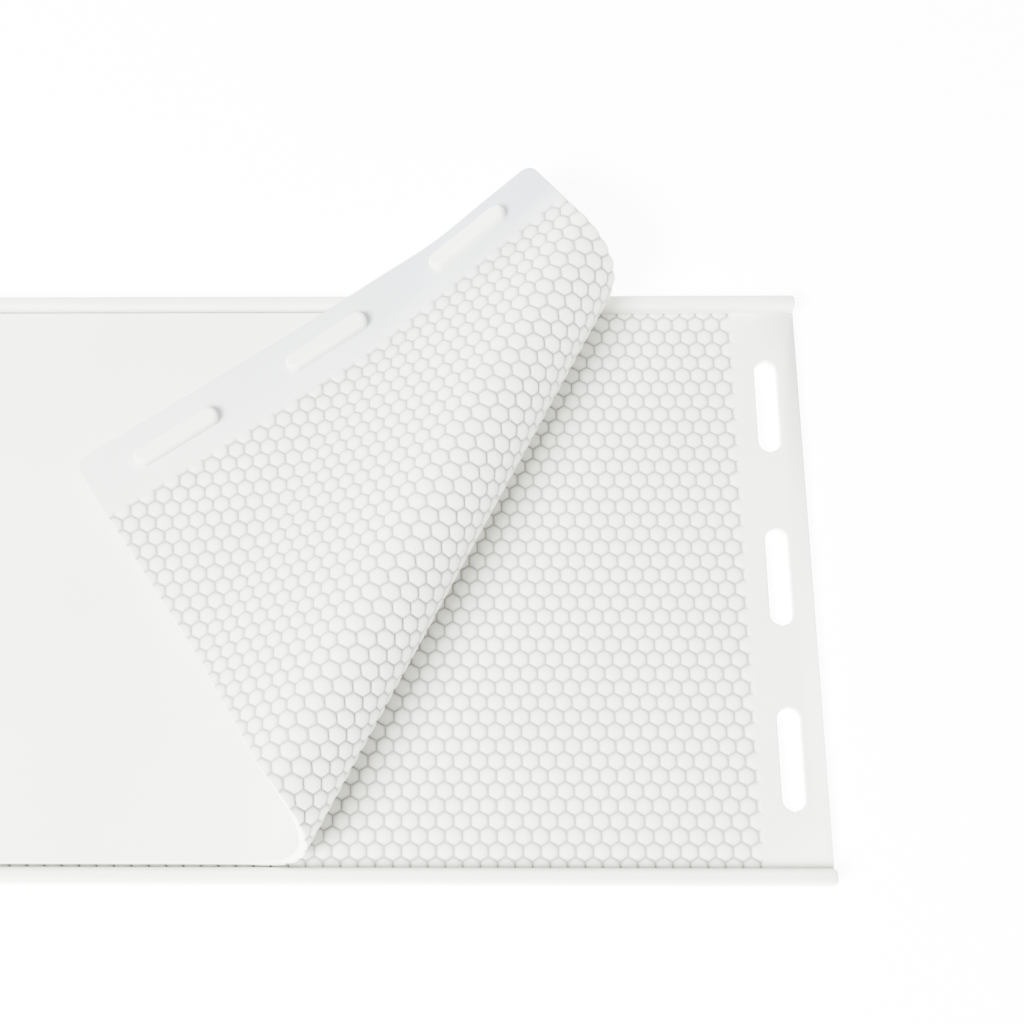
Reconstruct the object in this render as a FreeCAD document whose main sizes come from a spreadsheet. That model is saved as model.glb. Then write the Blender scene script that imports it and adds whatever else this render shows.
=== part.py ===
import FreeCAD, Part
import math
import os
import Sketcher

# Flexible silicone mould for pressing beeswax foundation, in millimetres.
# Origin: centre of the base sheet's underside. +X runs along the mould, +Y to the back rim, +Z up.
# The base lies flat. The cover's left end is pegged into it; its right end is peeled up,
# rolled over diagonally and laid back on the cover, smooth side in, embossed side out.

UP = FreeCAD.Vector(0, 0, 1)

DIMENSIONS = {
    "cell_pitch": 5.4,          # across the flats of one worker cell
    "cells_in_row": 70,
    "end_margin": 22.7,         # plain band at each end, past the cells
    "trough_width": 187.2,      # between the two rims
    "rim_width": 5.0,
    "rim_rise": 5.0,            # above the base sheet
    "rim_round": 1.8,
    "base_thickness": 3.2,
    "wax_gap": 0.6,             # between base and cover when closed
    "cover_thickness": 3.0,
    "cover_width": 185.2,
    "cover_corner": 4.0,
    "slot_length": 32.5,
    "slot_width": 7.4,
    "slot_inset": 10.9,         # from the end of the sheet to the slot's centre line
    "slot_pitch": 59.5,
    "peg_length": 31.4,
    "peg_width": 6.4,
    "peg_drop": 3.6,
    "peg_round": 0.8,
    "fold_direction": 62.0,     # degrees from +X to the bend lines
    "fold_start": 72.0,         # from the origin to the first bend line, square to it
    "fold_radius": 13.2,        # smooth inner side of the roll
    "fold_angle": 208.0,
    "fold_bends": 16,
    "ease_inner_at": 163.5,     # two lines between the pegs, where the flap bends back down
    "ease_inner_angle": 22.0,
    "ease_outer_at": 191.5,
    "ease_outer_angle": 8.0,
    "bend_clearance": 0.3,      # between neighbouring strips when they lie flat
}


def make_dimension_sheet(doc):
    """Spreadsheet with one aliased row for each driving dimension."""
    sheet = doc.addObject("Spreadsheet::Sheet", "dims")
    for row, (alias, value) in enumerate(DIMENSIONS.items(), start=1):
        sheet.set(f"A{row}", alias.replace("_", " "))
        sheet.set(f"B{row}", str(value))
        sheet.setAlias(f"B{row}", alias)
    doc.recompute()
    return sheet


doc = FreeCAD.newDocument("foundation_mould")
dims = make_dimension_sheet(doc)

# ---- Derived sizes, for placing and for expressions ----
MOULD_LENGTH = "(dims.cells_in_row * dims.cell_pitch + 2 * dims.end_margin)"
BEND_STEP = "(2 * dims.fold_radius * tan(dims.fold_angle / dims.fold_bends / 2 * 1deg))"

half_length = dims.cells_in_row * dims.cell_pitch / 2 + dims.end_margin
slot_x = half_length - dims.slot_inset
cover_bottom = dims.base_thickness + dims.wax_gap
cover_top = cover_bottom + dims.cover_thickness
bend_angle = dims.fold_angle / dims.fold_bends
bend_step = 2 * dims.fold_radius * math.tan(math.radians(bend_angle / 2))
fold_turn = FreeCAD.Rotation(UP, dims.fold_direction)
along_fold = fold_turn.multVec(FreeCAD.Vector(1, 0, 0))
across_fold = fold_turn.multVec(FreeCAD.Vector(0, -1, 0))
EDGE_ROWS = (("front", -1), ("middle", 0), ("back", 1))


# ---- PartDesign helpers ----
def make_body(name):
    body = doc.addObject("PartDesign::Body", name)
    body.Label = name
    return body


def plane_of(body, role):
    """One of the body's own origin planes, such as XY_Plane."""
    return next(f for f in body.Origin.OriginFeatures if f.Role == role)


def new_sketch(body, name, plane="XY_Plane"):
    sketch = body.newObject("Sketcher::SketchObject", name)
    sketch.AttachmentSupport = (plane_of(body, plane), [""])
    sketch.MapMode = "FlatFace"
    return sketch


def draw_rectangle(sketch, width, height):
    """Rectangle centred on the sketch's origin, its two sizes bound to expressions."""
    corners = [(-1, -1), (1, -1), (1, 1), (-1, 1)]
    points = [FreeCAD.Vector(10 * x, 5 * y, 0) for x, y in corners]
    for start, end in zip(points, points[1:] + points[:1]):
        sketch.addGeometry(Part.LineSegment(start, end))
    for line in range(4):
        sketch.addConstraint(Sketcher.Constraint("Coincident", line, 2, (line + 1) % 4, 1))
    for line in range(4):
        direction = "Horizontal" if line % 2 == 0 else "Vertical"
        sketch.addConstraint(Sketcher.Constraint(direction, line))
    sketch.addConstraint(Sketcher.Constraint("Symmetric", 0, 1, 2, 1, -1, 1))
    across = sketch.addConstraint(Sketcher.Constraint("DistanceX", 0, 1, 0, 2, 20.0))
    upward = sketch.addConstraint(Sketcher.Constraint("DistanceY", 1, 1, 1, 2, 10.0))
    sketch.setExpression(f"Constraints[{across}]", width)
    sketch.setExpression(f"Constraints[{upward}]", height)


def draw_round_slot(sketch, length, width):
    """Round-ended slot along the sketch's vertical axis, centred on its origin."""
    radius, reach = 3.0, 12.0
    top, bottom = FreeCAD.Vector(0, reach, 0), FreeCAD.Vector(0, -reach, 0)
    side = FreeCAD.Vector(radius, 0, 0)
    sketch.addGeometry(Part.LineSegment(bottom + side, top + side))
    sketch.addGeometry(Part.ArcOfCircle(Part.Circle(top, UP, radius), 0, math.pi))
    sketch.addGeometry(Part.LineSegment(top - side, bottom - side))
    sketch.addGeometry(Part.ArcOfCircle(Part.Circle(bottom, UP, radius), math.pi, 2 * math.pi))
    for first, first_end, second, second_end in ((0, 2, 1, 1), (1, 2, 2, 1), (2, 2, 3, 1), (3, 2, 0, 1)):
        sketch.addConstraint(Sketcher.Constraint("Tangent", first, first_end, second, second_end))
    sketch.addConstraint(Sketcher.Constraint("Vertical", 0))
    sketch.addConstraint(Sketcher.Constraint("Symmetric", 1, 3, 3, 3, -1, 1))
    sketch.addConstraint(Sketcher.Constraint("PointOnObject", 1, 3, -2))
    bend = sketch.addConstraint(Sketcher.Constraint("Radius", 1, radius))
    span = sketch.addConstraint(Sketcher.Constraint("DistanceY", 3, 3, 1, 3, 2 * reach))
    sketch.setExpression(f"Constraints[{bend}]", f"({width}) / 2")
    sketch.setExpression(f"Constraints[{span}]", f"({length}) - ({width})")


def pad_sketch(body, sketch, name, length):
    pad = body.newObject("PartDesign::Pad", name)
    pad.Profile = sketch
    pad.setExpression("Length", length)
    sketch.Visibility = False
    doc.recompute()
    return pad


def round_edges(body, base, edges, name, radius):
    """Fillet the named edges or faces of the body's last feature."""
    fillet = body.newObject("PartDesign::Fillet", name)
    fillet.Base = (base, edges)
    fillet.setExpression("Radius", radius)
    doc.recompute()


def slab_body(name, length, width, height):
    """Flat rectangular slab on z = 0, centred on the body's origin."""
    body = make_body(name)
    outline = new_sketch(body, f"{name}_outline")
    draw_rectangle(outline, length, width)
    return body, pad_sketch(body, outline, f"{name}_slab", height)


# ---- Base sheet ----
def make_base_field():
    """Embossed middle of the base sheet, between the two end margins."""
    length = "dims.cells_in_row * dims.cell_pitch"
    body, _ = slab_body("base_field", length, "dims.trough_width", "dims.base_thickness")
    return body


def make_base_margin(name, side):
    """Plain end of the base sheet, with three round-ended slots for the cover's pegs."""
    body, _ = slab_body(name, "dims.end_margin", "dims.trough_width", "dims.base_thickness")
    outline = new_sketch(body, f"{name}_slot_outline")
    draw_round_slot(outline, "dims.slot_length", "dims.slot_width")
    inset = f"{side} * (dims.end_margin / 2 - dims.slot_inset)"
    outline.setExpression("AttachmentOffset.Base.x", inset)
    outline.setExpression("AttachmentOffset.Base.y", "-dims.slot_pitch")
    slot = body.newObject("PartDesign::Pocket", f"{name}_slot")
    slot.Profile = outline
    slot.Type = "ThroughAll"
    slot.Reversed = True
    doc.recompute()
    row = body.newObject("PartDesign::LinearPattern", f"{name}_slots")
    row.Originals = [slot]
    row.Direction = (outline, ["V_Axis"])
    row.Occurrences = 3
    row.setExpression("Length", "2 * dims.slot_pitch")
    body.Tip = row
    doc.recompute()
    x = side * (half_length - dims.end_margin / 2)
    body.Placement = FreeCAD.Placement(FreeCAD.Vector(x, 0, 0), FreeCAD.Rotation())
    return body


def make_rim(name, side):
    """Raised lip along one long edge, with a rounded top."""
    height = "dims.base_thickness + dims.rim_rise"
    body, slab = slab_body(name, MOULD_LENGTH, "dims.rim_width", height)
    crest = slab.Shape.BoundBox.ZMax
    long_edges = [
        f"Edge{number}"
        for number, edge in enumerate(slab.Shape.Edges, start=1)
        if edge.Length > half_length and all(v.Z > crest / 2 for v in edge.Vertexes)
    ]
    round_edges(body, slab, long_edges, f"{name}_crest", "dims.rim_round")
    y = side * (dims.trough_width + dims.rim_width) / 2
    body.Placement = FreeCAD.Placement(FreeCAD.Vector(0, y, 0), FreeCAD.Rotation())
    return body


# ---- Cover sheet: bend lines and the pieces between them ----
def bend_lines():
    """Every bend as (distance across the fold, height of its axis, angle)."""
    lines = [
        (dims.fold_start + step * bend_step, cover_top, bend_angle)
        for step in range(int(dims.fold_bends))
    ]
    lines.append((dims.ease_inner_at, cover_bottom, -dims.ease_inner_angle))
    lines.append((dims.ease_outer_at, cover_bottom, -dims.ease_outer_angle))
    return lines


def folded(bend_count):
    """Placement that carries a piece past the first bend_count bends, from flat to folded."""
    placement = FreeCAD.Placement()
    for distance, height, angle in bend_lines()[:bend_count]:
        centre = across_fold * distance + UP * height
        turn = FreeCAD.Rotation(-along_fold, angle)
        placement = placement.multiply(FreeCAD.Placement(FreeCAD.Vector(), turn, centre))
    return placement


def make_cover_blank():
    """Whole flat cover with rounded corners, which the bend lines divide."""
    body, slab = slab_body("cover_blank", MOULD_LENGTH, "dims.cover_width", "dims.cover_thickness")
    upright = [
        f"Edge{number}"
        for number, edge in enumerate(slab.Shape.Edges, start=1)
        if abs(edge.tangentAt(edge.FirstParameter).z) > 0.5
    ]
    round_edges(body, slab, upright, "cover_blank_corners", "dims.cover_corner")
    body.Placement = FreeCAD.Placement(FreeCAD.Vector(0, 0, cover_bottom), FreeCAD.Rotation())
    return body


def make_cover_piece(name, blank, start, width, bend_count):
    """Part of the cover from start, square across the fold, as wide as the expression says."""
    band = doc.addObject("Part::Box", f"{name}_band")
    band.setExpression("Length", f"2 * {MOULD_LENGTH}")
    band.setExpression("Width", width)
    band.setExpression("Height", "dims.cover_thickness")
    doc.recompute()
    corner = across_fold * (start + band.Width.Value) - along_fold * band.Length.Value / 2
    band.Placement = FreeCAD.Placement(corner + UP * cover_bottom, fold_turn)
    piece = doc.addObject("Part::Common", name)
    piece.Label = name
    piece.Base = blank
    piece.Tool = band
    doc.recompute()
    piece.Placement = folded(bend_count)
    return piece


def make_cover_pieces(blank):
    """Flat part, the strips of the roll, and the three parts of the flap."""
    bends = int(dims.fold_bends)
    gap = dims.bend_clearance / 2
    roll_end = dims.fold_start + (bends - 1) * bend_step
    roll_end_text = f"(dims.fold_start + (dims.fold_bends - 1) * {BEND_STEP})"
    rest = f"({MOULD_LENGTH} - dims.bend_clearance)"
    flat_width = f"{MOULD_LENGTH} + dims.fold_start - dims.bend_clearance / 2"
    pieces = [make_cover_piece("cover_sheet", blank, -2 * half_length, flat_width, 0)]
    for strip in range(1, bends):
        start = dims.fold_start + (strip - 1) * bend_step + gap
        width = f"{BEND_STEP} - dims.bend_clearance"
        pieces.append(make_cover_piece(f"curl_strip_{strip}", blank, start, width, strip))
    inner = f"dims.ease_inner_at - {roll_end_text} - dims.bend_clearance"
    middle = "dims.ease_outer_at - dims.ease_inner_at - dims.bend_clearance"
    pieces.append(make_cover_piece("flap_inner", blank, roll_end + gap, inner, bends))
    pieces.append(
        make_cover_piece("flap_middle", blank, dims.ease_inner_at + gap, middle, bends + 1)
    )
    pieces.append(make_cover_piece("flap_corner", blank, dims.ease_outer_at + gap, rest, bends + 2))
    return pieces


def make_peg(name, side, row, bend_count):
    """Round-ended peg under the cover, which drops into a slot of the base."""
    body = make_body(name)
    outline = new_sketch(body, f"{name}_outline")
    draw_round_slot(outline, "dims.peg_length", "dims.peg_width")
    pad = pad_sketch(body, outline, f"{name}_pad", "dims.peg_drop")
    tip = next(
        f"Face{number}"
        for number, face in enumerate(pad.Shape.Faces, start=1)
        if face.BoundBox.ZMax < 0.001
    )
    round_edges(body, pad, [tip], f"{name}_tip", "dims.peg_round")
    seat = FreeCAD.Vector(side * slot_x, row * dims.slot_pitch, cover_bottom - dims.peg_drop)
    flat = FreeCAD.Placement(seat, FreeCAD.Rotation())
    body.Placement = folded(bend_count).multiply(flat)
    return body


def make_pegs():
    """Three pegs at the seated left end and three on the folded flap."""
    bends = int(dims.fold_bends)
    bends_before = {"front": bends + 2, "middle": bends + 1, "back": bends}
    pegs = []
    for label, row in EDGE_ROWS:
        pegs.append(make_peg(f"left_{label}_peg", -1, row, 0))
        pegs.append(make_peg(f"right_{label}_peg", 1, row, bends_before[label]))
    return pegs


def check_and_export(nodes):
    """Stop on any failed object or bad shape, then write one STEP file for each node."""
    for item in doc.Objects:
        if {"Invalid", "Error"} & set(item.State):
            raise RuntimeError(f"{item.Name} failed: {item.State}")
    os.makedirs("parts", exist_ok=True)
    for node in nodes:
        if node.Shape.isNull() or not node.Shape.isValid() or node.Shape.Volume <= 0:
            raise RuntimeError(f"{node.Label} has a bad shape")
        node.Shape.exportStep(os.path.join("parts", f"{node.Label}.step"))
        print(f"{node.Label}: {node.Shape.Volume:.0f} mm3, {len(node.Shape.Solids)} solid")


nodes = [
    make_base_field(),
    make_base_margin("base_margin_left", -1),
    make_base_margin("base_margin_right", 1),
    make_rim("front_rim", -1),
    make_rim("back_rim", 1),
]
nodes += make_cover_pieces(make_cover_blank())
nodes += make_pegs()
doc.recompute()
check_and_export(nodes)
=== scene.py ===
"""Looks of the flexible beeswax-foundation mould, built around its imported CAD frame."""
import math

import bmesh
import bpy
import numpy as np
from mathutils import Matrix, Vector
from mathutils.geometry import delaunay_2d_cdt


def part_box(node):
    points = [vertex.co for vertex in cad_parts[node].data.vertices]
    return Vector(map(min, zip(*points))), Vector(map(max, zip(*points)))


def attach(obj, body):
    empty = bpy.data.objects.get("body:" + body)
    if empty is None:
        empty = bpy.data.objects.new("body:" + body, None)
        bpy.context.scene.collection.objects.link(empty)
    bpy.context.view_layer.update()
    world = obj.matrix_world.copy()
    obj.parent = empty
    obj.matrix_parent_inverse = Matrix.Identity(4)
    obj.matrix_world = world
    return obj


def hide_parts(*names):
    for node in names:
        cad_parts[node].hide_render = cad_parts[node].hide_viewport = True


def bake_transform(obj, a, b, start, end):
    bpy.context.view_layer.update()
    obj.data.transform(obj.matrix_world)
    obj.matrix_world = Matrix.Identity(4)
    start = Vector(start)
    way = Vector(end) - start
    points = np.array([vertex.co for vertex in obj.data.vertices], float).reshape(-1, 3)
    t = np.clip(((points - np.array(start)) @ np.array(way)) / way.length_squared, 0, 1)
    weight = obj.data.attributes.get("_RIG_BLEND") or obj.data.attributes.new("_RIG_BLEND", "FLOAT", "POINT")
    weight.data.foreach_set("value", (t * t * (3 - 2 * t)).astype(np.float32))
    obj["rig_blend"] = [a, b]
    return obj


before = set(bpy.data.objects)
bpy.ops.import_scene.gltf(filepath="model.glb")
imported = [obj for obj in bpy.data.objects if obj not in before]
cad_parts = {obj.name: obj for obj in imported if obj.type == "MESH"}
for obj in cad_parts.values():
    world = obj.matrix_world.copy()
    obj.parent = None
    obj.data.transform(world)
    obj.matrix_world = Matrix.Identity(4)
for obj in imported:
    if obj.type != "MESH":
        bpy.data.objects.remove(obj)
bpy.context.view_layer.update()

# Everything below is worked out in millimetres and written to meshes in metres.
MM = 0.001

# ---- Cell pattern ----
PITCH = 5.4                       # across the flats
ROW_STEP = PITCH * math.sqrt(3) / 2
CELL_REACH = PITCH / math.sqrt(3)  # centre to corner
CELLS_IN_ROW = 70                 # in even rows; odd rows have one fewer
FIELD_CUT = CELLS_IN_ROW * PITCH / 2 + 1.8   # where the clipped pattern meets the plain margin
CELL_POINTS = 12                  # corners and mid-sides round one cell
BASE_SHIFT = (0.2, 0.65)          # of the base's cells from the middle of the trough
COVER_SHIFT = (0.0, PITCH / math.sqrt(12))
GROOVE_DEPTH = 0.9
# (share of the cell's size, extra pull on the corners, height) from the groove inwards
PAD_RINGS = ((0.86, 0.95, -0.30), (0.68, 0.90, -0.10))
PAD_TOP = 0.03
GRID_PER_MM = 20                  # border points that share a place on this grid are one point
NEAR = 1e-3                       # closer than this is on the line
WELD = 2e-3                       # vertices closer than this are joined
CUT_TOLERANCE = 1e-4

# ---- Sheets, from the CAD nodes ----
def node_box(name):
    """Lowest and highest corner of a CAD node, in millimetres."""
    low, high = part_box(name)
    return [v / MM for v in low], [v / MM for v in high]


_, field_high = node_box("base_field")
_, margin_high = node_box("base_margin_right")
_, rim_high = node_box("back_rim")
cover_low, cover_high = node_box("cover_sheet")
HALF_LENGTH = margin_high[0]
TROUGH_HALF = field_high[1]
BASE_TOP = field_high[2]
RIM_TOP = rim_high[2]
RIM_OUTER = rim_high[1]
COVER_BOTTOM, COVER_TOP = cover_low[2], cover_high[2]
COVER_HALF = -cover_low[1]
COVER_CORNER = 4.0
EDGE_ROUND = 0.45
SUPPORT = 0.25                    # flat band that keeps the shading of a rounded edge local
SEAM_CLEAR = 0.5                  # how far the flat band's edge stays from the cut cells
CORNER_STEPS, SLOT_STEPS, RIM_STEPS = 8, 16, 8
SLOT_LENGTH, SLOT_WIDTH = 32.5, 7.4
SLOT_X = HALF_LENGTH - 10.9
SLOT_ROWS = (-59.5, 0.0, 59.5)
RIM_CREST, RIM_FOOT = 1.9, 0.3    # rounding of a rim's top edges, bevel at its outer foot
RIM_LEVELS = (1.2, 0.5, 0.0)      # above the base, down a rim's inner wall
RIM_END_ROUND = 1.2
RIM_STATIONS = 40

# ---- Fold: s is the distance square across the fold, in the flat cover ----
FOLD_DIRECTION = math.radians(62)
FOLD_START = 72.0
FOLD_RADIUS = 13.2
FOLD_ANGLE = math.radians(208)
STRIPS = sum(1 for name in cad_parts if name.startswith("curl_strip_")) + 1
BEND = FOLD_ANGLE / STRIPS
STEP = 2 * FOLD_RADIUS * math.tan(BEND / 2)
ROLL_START = FOLD_START - STEP / 2
ROLL_END = ROLL_START + STRIPS * STEP
# Slight bends of the flap: (middle of the bend, its angle, width of the zone that bends)
EASES = ((163.5, math.radians(22), 20.0), (191.5, math.radians(8), 16.0))
EASE_STEPS = 10
FLAP_SPLIT = 178.0
FLAP_MIDDLE = 90.0                # along the fold
PAST_ENDS = 1000.0                # beyond both ends of the cover
ALONG = np.array([math.cos(FOLD_DIRECTION), math.sin(FOLD_DIRECTION)])
ACROSS = np.array([math.sin(FOLD_DIRECTION), -math.cos(FOLD_DIRECTION)])


# ---- Embossed faces ----
def cell_centres(half_width, shift):
    """Centres of all cells that touch the sheet, and whether each is embossed."""
    cells = []
    reach = int((half_width + CELL_REACH) / ROW_STEP) + 2
    for row in range(-reach, reach + 1):
        y = row * ROW_STEP + shift[1]
        if abs(y) > half_width + CELL_REACH:
            continue
        count = CELLS_IN_ROW - row % 2
        first = shift[0] - (count + 1) / 2 * PITCH
        for column in range(count + 2):
            cells.append((first + column * PITCH, y, 0 < column < count + 1))
    return cells


def embossed_faces(half_width, shift):
    """Points and faces of the pads and grooves on h = 0, embossed towards +h."""
    turns = [math.radians(360 // CELL_POINTS * i) for i in range(CELL_POINTS)]
    reach = [CELL_REACH if i % 2 else PITCH / 2 for i in range(CELL_POINTS)]
    outline = [(far * math.cos(a), far * math.sin(a)) for a, far in zip(turns, reach)]
    cells = cell_centres(half_width, shift)
    index, points, faces, borders = {}, [], [], []

    def shared(x, y):
        key = (round(x * GRID_PER_MM), round(y * GRID_PER_MM))
        for near in [(key[0] + i, key[1] + j) for i in (0, 1, -1) for j in (0, 1, -1)]:
            if near in index:
                return index[near]
        index[key] = len(points)
        points.append([x, y, 0.0])
        return index[key]

    for x, y, real in cells:
        border = [shared(x + dx, y + dy) for dx, dy in outline]
        borders.append(border)
        if real:
            for i in border:
                points[i][2] = -GROOVE_DEPTH
    for (x, y, real), border in zip(cells, borders):
        outer = border
        for level, (share, pull, height) in enumerate(PAD_RINGS):
            ring = []
            for i, (dx, dy) in enumerate(outline):
                size = share * (pull if i % 2 else 1.0)
                lowered = real or (level == 0 and points[border[i]][2] < 0)
                ring.append(len(points))
                points.append([x + dx * size, y + dy * size, height if lowered else 0.0])
            faces += [(outer[i - 1], outer[i], ring[i], ring[i - 1]) for i in range(CELL_POINTS)]
            outer = ring
        points.append([x, y, PAD_TOP if real else 0.0])
        faces += [(outer[i - 1], outer[i], len(points) - 1) for i in range(CELL_POINTS)]
    return points, faces


def cut_away(mesh, point, normal):
    """Remove what lies beyond a plane through point."""
    everything = mesh.verts[:] + mesh.edges[:] + mesh.faces[:]
    bmesh.ops.bisect_plane(mesh, geom=everything, dist=CUT_TOLERANCE, plane_co=point,
                           plane_no=normal, clear_outer=True)


def slot_loop(y, grow):
    """Round-ended slot outline, grown by that much."""
    radius = SLOT_WIDTH / 2 + grow
    straight = (SLOT_LENGTH - SLOT_WIDTH) / 2
    loop = []
    for start, end in ((0.0, straight), (math.pi, -straight)):
        for i in range(SLOT_STEPS + 1):
            a = start + math.pi * i / SLOT_STEPS
            loop.append((SLOT_X + radius * math.cos(a), y + end + radius * math.sin(a)))
    return loop


def in_slot(x, y, grow):
    """Whether a point is inside a slot at the +X end, grown by that much."""
    straight = (SLOT_LENGTH - SLOT_WIDTH) / 2
    for row in SLOT_ROWS:
        off = max(0.0, abs(y - row) - straight)
        if math.hypot(x - SLOT_X, off) < SLOT_WIDTH / 2 + grow - NEAR:
            return True
    return False


def margin_end(half_width, corner, inset):
    """End of a sheet from one side to the other, set in from its true edge."""
    x, y = HALF_LENGTH - inset, half_width - inset * (corner > 0)
    if corner == 0:
        return [(x, -y), (x, y)]
    arc = [math.radians(90 * i / CORNER_STEPS) for i in range(CORNER_STEPS + 1)]
    radius = corner - inset
    low = [(x - radius + radius * math.sin(a), -y + radius - radius * math.cos(a)) for a in arc]
    return low + [(px, -py) for px, py in reversed(low)]


def add_margin(mesh, half_width, corner, slots):
    """Plain band past the cells at the +X end, joined to the cut edge of the pattern."""
    seam = sorted((v.co.y, v.co.x) for v in mesh.verts if abs(v.co.x - FIELD_CUT) < NEAR)
    side = [(FIELD_CUT, y) for y, _ in reversed(seam)]
    outline = side + margin_end(half_width, corner, EDGE_ROUND)
    support = margin_end(half_width, corner, EDGE_ROUND + SUPPORT)
    edges = [(i, (i + 1) % len(outline)) for i in range(len(outline))]
    inset_line = [p for p in support if p[0] > FIELD_CUT + SEAM_CLEAR]
    points = outline + inset_line
    edges += [(i, i + 1) for i in range(len(outline), len(points) - 1)]
    if slots:
        for y in SLOT_ROWS:
            for grow in (EDGE_ROUND, EDGE_ROUND + SUPPORT):
                loop = slot_loop(y, grow)
                start = len(points)
                points += loop
                edges += [(start + i, start + (i + 1) % len(loop)) for i in range(len(loop))]
    flat = [Vector(p) for p in points]
    verts, _, faces, *_ = delaunay_2d_cdt(flat, edges, [], 1, 1e-5)
    made = [mesh.verts.new((v.x, v.y, 0.0)) for v in verts]
    for face in faces:
        cx = sum(verts[i].x for i in face) / len(face)
        cy = sum(verts[i].y for i in face) / len(face)
        if slots and in_slot(cx, cy, EDGE_ROUND):
            continue
        mesh.faces.new([made[i] for i in face])


def outward_directions(mesh, straight_sides):
    """For each vertex on an open edge, the way out of the sheet in its plane."""
    out = {}
    for edge in mesh.edges:
        if len(edge.link_faces) != 1:
            continue
        a, b = edge.verts
        way = Vector((b.co.y - a.co.y, a.co.x - b.co.x, 0.0))
        if way.length < 1e-9:
            continue
        way.normalize()
        centre = edge.link_faces[0].calc_center_median()
        if way.dot((a.co + b.co) / 2 - centre) < 0:
            way.negate()
        if straight_sides and abs(way.y) > 0.99:
            way = Vector((0.0, 0.0, 0.0))
        for v in edge.verts:
            out[v] = out.get(v, Vector((0.0, 0.0, 0.0))) + way
    for v, way in out.items():
        if straight_sides and abs(abs(v.co.y) - TROUGH_HALF) < NEAR:
            way.y = 0.0
        if way.length > 1e-6:
            way.normalize()
    return out


def fill_back(mesh, ring, edges, slots):
    """Triangulate the flat back inside its outer loop and outside the slots."""
    corners = list(dict.fromkeys(ring.values()))
    index = {v: i for i, v in enumerate(corners)}
    ends = [(index[ring[e.verts[0]]], index[ring[e.verts[1]]]) for e in edges]
    flat = [Vector((v.co.x, v.co.y)) for v in corners]
    verts, _, faces, origins, *_ = delaunay_2d_cdt(flat, ends, [], 1, 1e-6)
    level = corners[0].co.z
    made = [corners[origin[0]] if origin else mesh.verts.new((v.x, v.y, level))
            for v, origin in zip(verts, origins)]
    for face in faces:
        cx = sum(verts[i].x for i in face) / 3
        cy = sum(verts[i].y for i in face) / 3
        if not (slots and (in_slot(cx, cy, EDGE_ROUND) or in_slot(-cx, cy, EDGE_ROUND))):
            mesh.faces.new([made[i] for i in face])


def close_sheet(mesh, thickness, straight_sides):
    """Round the open edges over, run them down to the back, and fill the back."""
    out = outward_directions(mesh, straight_sides)
    ring = {v: v for v in out}
    edges = [e for e in mesh.edges if len(e.link_faces) == 1]
    # (way out, way from the near face) as shares of the rounding, and whether from the top
    rounding = [(math.sin(a), 1 - math.cos(a)) for a in (math.radians(40), math.radians(90))]
    levels = [(*step, True) for step in rounding]
    levels += [(*step, False) for step in reversed(rounding)]
    levels += [(0.0, 0.0, False), (-SUPPORT / EDGE_ROUND, 0.0, False)]
    for aside, down, top in levels:
        fresh = {}
        for v, way in out.items():
            h = v.co.z - EDGE_ROUND * down if top else -thickness + EDGE_ROUND * down
            place = v.co + way * (EDGE_ROUND * aside)
            fresh[v] = mesh.verts.new((place.x, place.y, h))
        for edge in edges:
            a, b = edge.verts
            mesh.faces.new((ring[a], ring[b], fresh[b], fresh[a]))
        ring = fresh
    fill_back(mesh, ring, edges, straight_sides)


def sheet_mesh(half_width, shift, corner, thickness, slots):
    """Closed sheet, embossed on +h between plain ends, as a bmesh with h as z."""
    inset = 0.0 if slots else EDGE_ROUND
    points, faces = embossed_faces(half_width, shift)
    data = bpy.data.meshes.new("cells")
    data.from_pydata(points, [], faces)
    mesh = bmesh.new()
    mesh.from_mesh(data)
    bpy.data.meshes.remove(data)
    # Share of groove depth per vertex; the material paints shade into the grooves from it.
    groove = mesh.verts.layers.float.new("groove")
    for v in mesh.verts:
        v[groove] = max(0.0, -v.co.z / GROOVE_DEPTH)
    for sign in (-1, 1):
        cut_away(mesh, (sign * FIELD_CUT, 0, 0), (sign, 0, 0))
        cut_away(mesh, (0, sign * (half_width - inset), 0), (0, sign, 0))
    add_margin(mesh, half_width, corner, slots)
    fresh = [v for v in mesh.verts if v.co.x > FIELD_CUT - NEAR]
    bmesh.ops.remove_doubles(mesh, verts=fresh, dist=WELD)
    turned = bmesh.ops.duplicate(
        mesh, geom=[f for f in mesh.faces if f.calc_center_median().x > FIELD_CUT])["geom"]
    for v in (g for g in turned if isinstance(g, bmesh.types.BMVert)):
        v.co.x = -v.co.x
    mirrored = [v for v in mesh.verts if v.co.x < -FIELD_CUT + NEAR]
    bmesh.ops.remove_doubles(mesh, verts=mirrored, dist=WELD)
    close_sheet(mesh, thickness, slots)
    bmesh.ops.recalc_face_normals(mesh, faces=mesh.faces[:])
    return mesh


def object_from(mesh, name, place):
    """Object in metres from a bmesh whose vertices place() maps to millimetres in the frame."""
    for v in mesh.verts:
        v.co = Vector(place(v.co)) * MM
    bmesh.ops.recalc_face_normals(mesh, faces=mesh.faces[:])
    data = bpy.data.meshes.new(name)
    mesh.to_mesh(data)
    mesh.free()
    obj = bpy.data.objects.new(name, data)
    bpy.context.scene.collection.objects.link(obj)
    data.shade_smooth()
    return obj


def skin(mesh, rings):
    """Walls from each ring of vertices to the next, and a cap on both ends."""
    count = len(rings[0])
    for first, second in zip(rings, rings[1:]):
        for i in range(count):
            j = (i + 1) % count
            mesh.faces.new((first[i], first[j], second[j], second[i]))
    mesh.faces.new(rings[0])
    mesh.faces.new(rings[-1])


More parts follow.
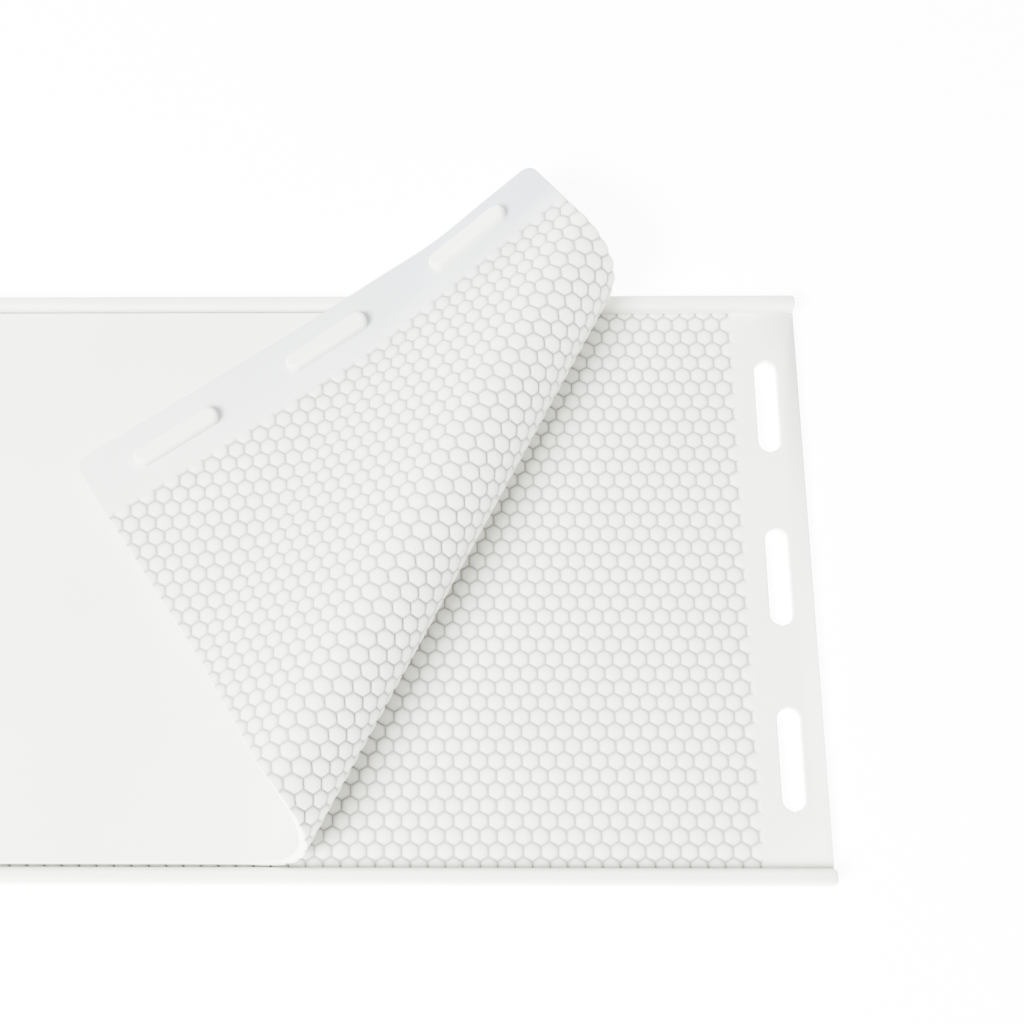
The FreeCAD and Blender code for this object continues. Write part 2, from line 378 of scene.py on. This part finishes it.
def bar(name, profile, x_low, x_high, end_round):
    """Closed bar along X from a closed (y, z) profile, with softened ends."""
    mesh = bmesh.new()
    cy = sum(p[0] for p in profile) / len(profile)
    cz = sum(p[1] for p in profile) / len(profile)
    turns = [math.radians(a) for a in (0, 30, 60, 90)]
    low_end = [(x_low + end_round * (1 - math.cos(a)), end_round * (1 - math.sin(a)))
               for a in turns]
    straight = x_high - x_low - 2 * end_round
    stations = low_end + [(x_low + end_round + straight * i / RIM_STATIONS, 0.0)
                          for i in range(1, RIM_STATIONS)]
    stations += [(x_high + x_low - x, inset) for x, inset in reversed(low_end)]
    rings = []
    for x, inset in stations:
        ring = []
        for y, z in profile:
            away = Vector((y - cy, z - cz))
            away.length = max(away.length - inset, 0.01)
            ring.append(mesh.verts.new((x, cy + away.x, cz + away.y)))
        rings.append(ring)
    skin(mesh, rings)
    return object_from(mesh, name, lambda p: p)


def rim_profile(side):
    """Cross-section of one rim: square foot, rounded crest."""
    inner, outer = TROUGH_HALF, RIM_OUTER
    points = [(inner, 0.0), (outer - RIM_FOOT, 0.0), (outer, RIM_FOOT)]
    for centre, start in ((outer - RIM_CREST, 0), (inner + RIM_CREST, 90)):
        for i in range(RIM_STEPS + 1):
            a = math.radians(start + 90 * i / RIM_STEPS)
            points.append((centre + RIM_CREST * math.cos(a),
                           RIM_TOP - RIM_CREST + RIM_CREST * math.sin(a)))
    points += [(inner, BASE_TOP + h) for h in RIM_LEVELS]
    return [(side * y, z) for y, z in points]


# ---- Fold mapping ----
def fold_point(s, z):
    """Where a point of the flat cover, s across the fold and z up, lies once rolled."""
    if s <= ROLL_START:
        return s, z
    angle = min((s - ROLL_START) / (ROLL_END - ROLL_START), 1.0) * FOLD_ANGLE
    past = max(0.0, s - ROLL_END)
    centre_z = COVER_TOP + FOLD_RADIUS
    reach = centre_z - z
    return (ROLL_START + reach * math.sin(angle) + past * math.cos(angle),
            centre_z - reach * math.cos(angle) + past * math.sin(angle))


def ease_point(s, z, shares):
    """The two slight bends of the flap, still in the flat cover's terms."""
    for number in (1, 0):
        at, angle, zone = EASES[number]
        t = min(max((s - at) / zone + 0.5, 0.0), 1.0)
        share = t * t * (3 - 2 * t) if shares is None else shares[number]
        ds, dz = s - at, z - COVER_BOTTOM
        s = at + ds * math.cos(angle * share) + dz * math.sin(angle * share)
        z = COVER_BOTTOM - ds * math.sin(angle * share) + dz * math.cos(angle * share)
    return s, z


def folded(point, shares=None):
    """Rest place of a point given where it is when the cover is flat."""
    s = point[0] * ACROSS[0] + point[1] * ACROSS[1]
    along = point[0] * ALONG[0] + point[1] * ALONG[1]
    z = point[2]
    if s > ROLL_END:
        s, z = ease_point(s, z, shares)
    s, z = fold_point(s, z)
    x, y = ACROSS * s + ALONG * along
    return x, y, z


# ---- Base ----
def to_base(point):
    """Place in the frame of a point of the embossed sheet, h up."""
    return point[0], point[1], BASE_TOP + point[2]


base_sheet = object_from(sheet_mesh(TROUGH_HALF, BASE_SHIFT, 0.0, BASE_TOP, True), "base_sheet",
                         to_base)
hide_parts("base_field", "base_margin_left", "base_margin_right")
front_bar = bar("base_rim_front", rim_profile(-1), -HALF_LENGTH, HALF_LENGTH, RIM_END_ROUND)
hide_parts("front_rim")
back_bar = bar("base_rim_back", rim_profile(1), -HALF_LENGTH, HALF_LENGTH, RIM_END_ROUND)
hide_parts("back_rim")
for piece in (base_sheet, front_bar, back_bar):
    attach(piece, "base")


# ---- Cover ----
def crosses(face, way, line):
    side = [v.co.dot(way) - line for v in face.verts]
    return min(side) < NEAR and max(side) > -NEAR


def cut_lines(mesh):
    """Edges across the cover wherever it bends or is divided, so that it bends smoothly."""
    half = STEP / 2
    lines = [ROLL_START + i * half for i in range(2 * STRIPS + 1)]
    for at, _, zone in EASES:
        lines += [at + zone * (i / EASE_STEPS - 0.5) for i in range(EASE_STEPS + 1)]
    lines.append(FLAP_SPLIT)
    way = Vector((ACROSS[0], ACROSS[1], 0.0))
    for line in lines:
        touched = [f for f in mesh.faces if crosses(f, way, line)]
        parts = {v for f in touched for v in f.verts} | {e for f in touched for e in f.edges}
        bmesh.ops.bisect_plane(mesh, geom=list(parts) + touched, dist=CUT_TOLERANCE,
                               plane_co=way * line, plane_no=way)


def rested_cover():
    """The whole cover at rest: per vertex its flat place, place, normal and groove; its faces."""
    mesh = sheet_mesh(COVER_HALF, COVER_SHIFT, COVER_CORNER, COVER_TOP - COVER_BOTTOM, False)
    cut_lines(mesh)
    flat = []
    for v in mesh.verts:
        v.co = Vector((v.co.x, v.co.y, COVER_BOTTOM - v.co.z))
        flat.append(tuple(v.co))
        v.co = Vector(folded(v.co))
    mesh.verts.index_update()
    bmesh.ops.recalc_face_normals(mesh, faces=mesh.faces[:])
    mesh.normal_update()
    layer = mesh.verts.layers.float["groove"]
    per_vertex = [(tuple(v.co), tuple(v.normal), v[layer]) for v in mesh.verts]
    faces = [[v.index for v in f.verts] for f in mesh.faces]
    mesh.free()
    return flat, *zip(*per_vertex), faces


flat_places, places, normals, grooves, cover_faces = rested_cover()
flat_s = [p[0] * ACROSS[0] + p[1] * ACROSS[1] for p in flat_places]
face_s = [sum(flat_s[i] for i in face) / len(face) for face in cover_faces]


def cover_piece(name, low, high):
    """Closed piece of the rested cover between two lines across the fold."""
    index, points, faces = {}, [], []
    for face, s in zip(cover_faces, face_s):
        if low < s <= high:
            faces.append([index.setdefault(i, len(index)) for i in face])
    kept = list(index)
    data = bpy.data.meshes.new(name)
    data.from_pydata([Vector(places[i]) * MM for i in kept], [], faces)
    mesh = bmesh.new()
    mesh.from_mesh(data)
    surface = len(mesh.faces)
    open_edges = [e for e in mesh.edges if e.is_boundary]
    bmesh.ops.holes_fill(mesh, edges=open_edges, sides=0)
    mesh.to_mesh(data)
    mesh.free()
    data.shade_smooth()
    loop_normals = []
    for polygon in data.polygons:
        for i in polygon.vertices:
            facing = normals[kept[i]] if polygon.index < surface else tuple(polygon.normal)
            loop_normals.append(facing)
    data.normals_split_custom_set(loop_normals)
    flat = data.attributes.new("flat_place", "FLOAT_VECTOR", "POINT")
    flat.data.foreach_set("vector", [c for i in kept for c in flat_places[i]])
    groove = data.attributes.new("groove", "FLOAT", "POINT")
    groove.data.foreach_set("value", [grooves[i] for i in kept])
    obj = bpy.data.objects.new(name, data)
    bpy.context.scene.collection.objects.link(obj)
    return obj


def rest_place(s):
    """Point in metres on the embossed face, s across the fold when flat."""
    x, y = ACROSS * s + ALONG * FLAP_MIDDLE
    return Vector(folded((x, y, COVER_BOTTOM))) * MM


seams = [FOLD_START + i * STEP for i in range(STRIPS)]
main = cover_piece("cover_main", -PAST_ENDS, seams[0])
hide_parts("cover_sheet")
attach(main, "cover")
cover_pieces = [main]
for number, (low, high) in enumerate(zip(seams, seams[1:]), start=1):
    strip = cover_piece(f"cover_roll_{number}", low, high)
    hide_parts(f"curl_strip_{number}")
    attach(strip, f"curl_{number}")
    cover_pieces.append(strip)
flap_near = cover_piece("cover_flap_near", seams[-1], FLAP_SPLIT)
flap_far = cover_piece("cover_flap_far", FLAP_SPLIT, PAST_ENDS)
cover_pieces += [flap_near, flap_far]
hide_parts("flap_inner")
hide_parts("flap_middle", "flap_corner")
for piece, bodies, (at, _, zone) in ((flap_near, ("flap_inner", "flap_middle"), EASES[0]),
                                     (flap_far, ("flap_middle", "flap_corner"), EASES[1])):
    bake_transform(piece, *bodies, start=rest_place(at - zone / 2), end=rest_place(at + zone / 2))


# ---- Pegs ----
PEG_LENGTH, PEG_WIDTH = 31.4, 6.4
PEG_DROP = 3.6
PEG_ROUND = 1.5
PEG_ROOT = 1.0                    # how far a peg's foot reaches into the cover
PEG_BAND = 0.6                    # straight band above the cover, keeps the tip's shading local
PEG_TIP_TURNS = (18, 36, 54, 72, 90)
PEG_TIP_FLAT = 0.3                # flat band at the edge of the tip
PEG_STEPS = 14
# Peg: (end of the cover, row of its slot, body that carries it, shares of the two slight bends)
PEG_BODIES = {
    "left_front_peg": (-1, 0, "cover", None), "left_middle_peg": (-1, 1, "cover", None),
    "left_back_peg": (-1, 2, "cover", None), "right_front_peg": (1, 0, "flap_corner", (1, 1)),
    "right_middle_peg": (1, 1, "flap_middle", (1, 0)), "right_back_peg": (1, 2, "flap_inner", (0, 0)),
}


def peg_loop(x, y, inset):
    """Round-ended peg outline, set in from its true edge."""
    radius, straight = PEG_WIDTH / 2 - inset, (PEG_LENGTH - PEG_WIDTH) / 2
    loop = []
    for side in (1, -1):
        for i in range(PEG_STEPS + 1):
            a = math.pi * i / PEG_STEPS
            loop.append((x + side * radius * math.cos(a), y + side * (straight + radius * math.sin(a))))
    return loop


def peg(name, side, row, shares):
    """Round-ended peg with a softened tip, on the embossed side of the cover."""
    mesh = bmesh.new()
    levels = [(0.0, -PEG_ROOT), (0.0, PEG_BAND), (0.0, PEG_DROP - PEG_ROUND)]
    for turn in (math.radians(a) for a in PEG_TIP_TURNS):
        levels.append((PEG_ROUND * (1 - math.cos(turn)), PEG_DROP - PEG_ROUND * (1 - math.sin(turn))))
    levels.append((PEG_ROUND + PEG_TIP_FLAT, PEG_DROP))
    rings = []
    for inset, drop in levels:
        loop = peg_loop(side * SLOT_X, SLOT_ROWS[row], inset)
        rings.append([mesh.verts.new((x, y, COVER_BOTTOM - drop)) for x, y in loop])
    skin(mesh, rings)
    return object_from(mesh, name, lambda p: folded(p, shares))


pegs = []
for node, (side, row, body, shares) in PEG_BODIES.items():
    piece = peg(f"cover_{node}", side, row, shares)
    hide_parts(node)
    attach(piece, body)
    pegs.append(piece)


# ---- Materials ----
SILICONE_TINT = (0.83, 0.83, 0.765)
# Painted shade: the colour the grooves darken towards with their depth.
PAINTED_GROOVE_SHADE = (0.25, 0.25, 0.225)
# Painted shade, cool and grey, for the cover's thin right margin.
PAINTED_MARGIN_SHADE = (0.45, 0.485, 0.53)
MARGIN_SHADE_X = (180.0, 198.0)           # along the flat cover, where the painted shade fades in
MARGIN_SHADE_Y = (-92.0, 92.0)            # across it, from the painted shade's weak end to its strong one
MARGIN_SHADE_WEAK = 0.3
MOTTLE_SCALE, MOTTLE_DARK = 26.0, 0.94
GRAIN_SCALE = 900.0


def map_range(nodes, links, value, low, high, to_low, to_high):
    """A socket that carries value from one range over to another."""
    node = nodes.new("ShaderNodeMapRange")
    for slot, number in zip(("From Min", "From Max", "To Min", "To Max"), (low, high, to_low, to_high)):
        node.inputs[slot].default_value = number
    links.new(value, node.inputs["Value"])
    return node.outputs["Result"]


def painted_margin_shade(nodes, links, colour):
    """Painted shade, cool and grey, over the cover's thin right margin, strongest at its back corner."""
    place = nodes.new("ShaderNodeAttribute")
    place.attribute_name = "flat_place"
    parts = nodes.new("ShaderNodeSeparateXYZ")
    links.new(place.outputs["Vector"], parts.inputs["Vector"])
    product = nodes.new("ShaderNodeMath")
    product.operation = "MULTIPLY"
    links.new(map_range(nodes, links, parts.outputs["X"], *MARGIN_SHADE_X, 0.0, 1.0), product.inputs[0])
    links.new(map_range(nodes, links, parts.outputs["Y"], *MARGIN_SHADE_Y, MARGIN_SHADE_WEAK, 1.0), product.inputs[1])
    mix = nodes.new("ShaderNodeMix")
    mix.data_type = "RGBA"
    links.new(product.outputs["Value"], mix.inputs["Factor"])
    links.new(colour, mix.inputs["A"])
    mix.inputs["B"].default_value = (*PAINTED_MARGIN_SHADE, 1)
    return mix.outputs["Result"]


def silicone():
    """Satin moulded silicone: milky mottling, painted shade in the grooves, painted cool shade on the thin
    margin, fine grain.
    """
    material = bpy.data.materials.new("silicone_white")
    material.use_nodes = True
    nodes, links = material.node_tree.nodes, material.node_tree.links
    shader = nodes["Principled BSDF"]
    shader.inputs["Roughness"].default_value = 0.45
    shader.inputs["Specular IOR Level"].default_value = 0.3
    place = nodes.new("ShaderNodeTexCoord")
    mottle = nodes.new("ShaderNodeTexNoise")
    mottle.inputs["Scale"].default_value = MOTTLE_SCALE
    mottle.inputs["Detail"].default_value = 3.0
    links.new(place.outputs["Object"], mottle.inputs["Vector"])
    ramp = nodes.new("ShaderNodeValToRGB")
    ramp.color_ramp.elements[0].position = 0.3
    ramp.color_ramp.elements[1].position = 0.7
    ramp.color_ramp.elements[0].color = (*[c * MOTTLE_DARK for c in SILICONE_TINT], 1)
    ramp.color_ramp.elements[1].color = (*SILICONE_TINT, 1)
    links.new(mottle.outputs["Fac"], ramp.inputs["Fac"])
    # Painted shade: the base colour darkens with the depth of the groove.
    depth = nodes.new("ShaderNodeAttribute")
    depth.attribute_name = "groove"
    shade = nodes.new("ShaderNodeMix")
    shade.data_type = "RGBA"
    links.new(depth.outputs["Fac"], shade.inputs["Factor"])
    # Painted shade mixed in over the cover's thin right margin.
    links.new(painted_margin_shade(nodes, links, ramp.outputs["Color"]), shade.inputs["A"])
    shade.inputs["B"].default_value = (*PAINTED_GROOVE_SHADE, 1)
    links.new(shade.outputs["Result"], shader.inputs["Base Color"])
    grain = nodes.new("ShaderNodeTexNoise")
    grain.inputs["Scale"].default_value = GRAIN_SCALE
    links.new(place.outputs["Object"], grain.inputs["Vector"])
    bump = nodes.new("ShaderNodeBump")
    bump.inputs["Strength"].default_value = 0.08
    bump.inputs["Distance"].default_value = 0.0002
    links.new(grain.outputs["Fac"], bump.inputs["Height"])
    links.new(bump.outputs["Normal"], shader.inputs["Normal"])
    return material


white = silicone()
for piece in [base_sheet, front_bar, back_bar] + cover_pieces + pegs:
    piece.data.materials.append(white)


# ---- Floor, light and camera: in metres ----
FLOOR_HALF, FLOOR_DROP = 3.0, 0.0005
FLOOR_GLOW = 9.0
WORLD_GLOW = 1.7
WHITE = (1, 1, 1, 1)


def flat_floor():
    """Pale floor just under the mould, which gives off light so that it renders white."""
    data = bpy.data.meshes.new("floor")
    corners = [(x * FLOOR_HALF, y * FLOOR_HALF, 0) for x, y in ((-1, -1), (1, -1), (1, 1), (-1, 1))]
    data.from_pydata(corners, [], [(0, 1, 2, 3)])
    floor = bpy.data.objects.new("floor", data)
    floor.location.z = -FLOOR_DROP
    bpy.context.scene.collection.objects.link(floor)
    material = bpy.data.materials.new("pale_floor")
    material.use_nodes = True
    shader = material.node_tree.nodes["Principled BSDF"]
    shader.inputs["Base Color"].default_value = WHITE
    shader.inputs["Roughness"].default_value = 1.0
    shader.inputs["Specular IOR Level"].default_value = 0.0
    shader.inputs["Emission Color"].default_value = WHITE
    shader.inputs["Emission Strength"].default_value = FLOOR_GLOW
    data.materials.append(material)
    return floor


flat_floor()


def soft_light(name, place, size, power):
    """Round area lamp aimed at the origin."""
    data = bpy.data.lights.new(name, "AREA")
    data.shape = "DISK"
    data.size = size
    data.energy = power
    lamp = bpy.data.objects.new(name, data)
    lamp.location = place
    lamp.rotation_euler = (-Vector(place)).to_track_quat("-Z", "Y").to_euler()
    bpy.context.scene.collection.objects.link(lamp)


soft_light("key", (-0.9, -0.8, 1.4), 0.9, 270.0)
world = bpy.data.worlds.new("studio")
world.use_nodes = True
world.node_tree.nodes["Background"].inputs["Color"].default_value = WHITE
world.node_tree.nodes["Background"].inputs["Strength"].default_value = WORLD_GLOW
bpy.context.scene.world = world

# The camera's place, and its right and up directions.
CAMERA_PLACE = Vector((0.0878, -0.1435, 0.5149))
CAMERA_RIGHT = Vector((0.99991, 0.00351, -0.01278))
CAMERA_UP = Vector((0.00059, 0.95146, 0.30779))
CAMERA_LENS = 57.25
CAMERA_SHIFT = 0.0996


def add_camera():
    data = bpy.data.cameras.new("camera")
    data.sensor_width = 36.0
    data.lens = CAMERA_LENS
    data.shift_x = CAMERA_SHIFT
    data.clip_start = 0.01
    camera = bpy.data.objects.new("camera", data)
    back = CAMERA_RIGHT.cross(CAMERA_UP).normalized()
    up = back.cross(CAMERA_RIGHT).normalized()
    turn = Matrix((CAMERA_RIGHT.normalized(), up, back)).transposed()
    camera.matrix_world = Matrix.Translation(CAMERA_PLACE) @ turn.to_4x4()
    bpy.context.scene.collection.objects.link(camera)
    bpy.context.scene.camera = camera


add_camera()
